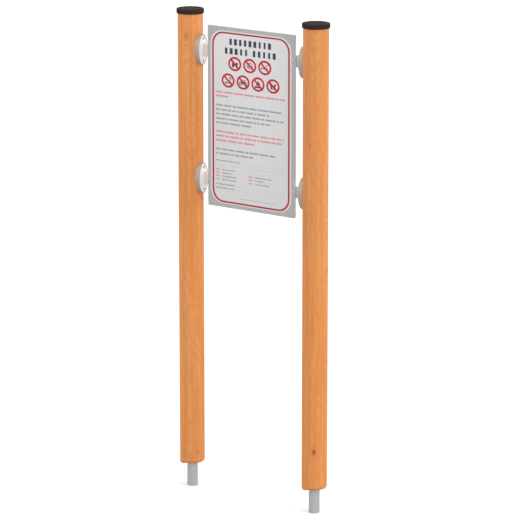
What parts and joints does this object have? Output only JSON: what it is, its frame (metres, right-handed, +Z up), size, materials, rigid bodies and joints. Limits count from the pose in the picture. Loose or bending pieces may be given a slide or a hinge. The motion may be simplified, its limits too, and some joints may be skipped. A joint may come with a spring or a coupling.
{
  "type": "park information sign",
  "caption": "Upright park sign: a flat printed board held between round timber posts by oval cast connectors, with capped tops and steel ground-anchor tubes.",
  "frame": {"origin": "midway between the open lower ends of the two anchor tubes, at the bottom centre of the bounding box", "axes": "+X from the left post to the right post as read, -Y towards the reader, +Z up along the posts"},
  "size_m": [0.713, 0.108, 1.9403],
  "materials": {
    "timber": "turned and oiled, satin",
    "cap_plastic": "fine moulded grain, satin",
    "galvanised_steel": "hot-dip galvanised, dull",
    "cast_aluminium": "cast and bead blasted, matt",
    "board_laminate": "smooth compact laminate, matt",
    "print_film": "printed film, semi-matt",
    "stainless_steel": "plain stainless",
    "blackened_steel": "blackened, dull"
  },
  "bodies": {
    "root": {"post_left": "timber", "post_cap_left": "cap_plastic", "cap_screw_left": "blackened_steel", "anchor_tube_left": "galvanised_steel", "anchor_screw_left_lower": "galvanised_steel", "anchor_washer_left_lower": "galvanised_steel", "anchor_screw_left_upper": "galvanised_steel", "anchor_washer_left_upper": "galvanised_steel", "connector_left_lower": "cast_aluminium", "connector_screw_left_lower_bottom": "stainless_steel", "connector_screw_left_lower_top": "stainless_steel", "connector_left_upper": "cast_aluminium", "connector_screw_left_upper_bottom": "stainless_steel", "connector_screw_left_upper_top": "stainless_steel", "post_right": "timber", "post_cap_right": "cap_plastic", "cap_screw_right": "blackened_steel", "anchor_tube_right": "galvanised_steel", "anchor_screw_right_lower": "galvanised_steel", "anchor_washer_right_lower": "galvanised_steel", "anchor_screw_right_upper": "galvanised_steel", "anchor_washer_right_upper": "galvanised_steel", "connector_right_lower": "cast_aluminium", "connector_screw_right_lower_bottom": "stainless_steel", "connector_screw_right_lower_top": "stainless_steel", "connector_right_upper": "cast_aluminium", "connector_screw_right_upper_bottom": "stainless_steel", "connector_screw_right_upper_top": "stainless_steel", "panel_board": "board_laminate", "panel_print_film": "print_film", "panel_bolt_left_lower": "stainless_steel", "panel_washer_left_lower": "stainless_steel", "panel_nut_left_lower": "stainless_steel", "panel_bolt_left_upper": "stainless_steel", "panel_washer_left_upper": "stainless_steel", "panel_nut_left_upper": "stainless_steel", "panel_bolt_right_lower": "stainless_steel", "panel_washer_right_lower": "stainless_steel", "panel_nut_right_lower": "stainless_steel", "panel_bolt_right_upper": "stainless_steel", "panel_washer_right_upper": "stainless_steel", "panel_nut_right_upper": "stainless_steel"}
  },
  "joints": []
}
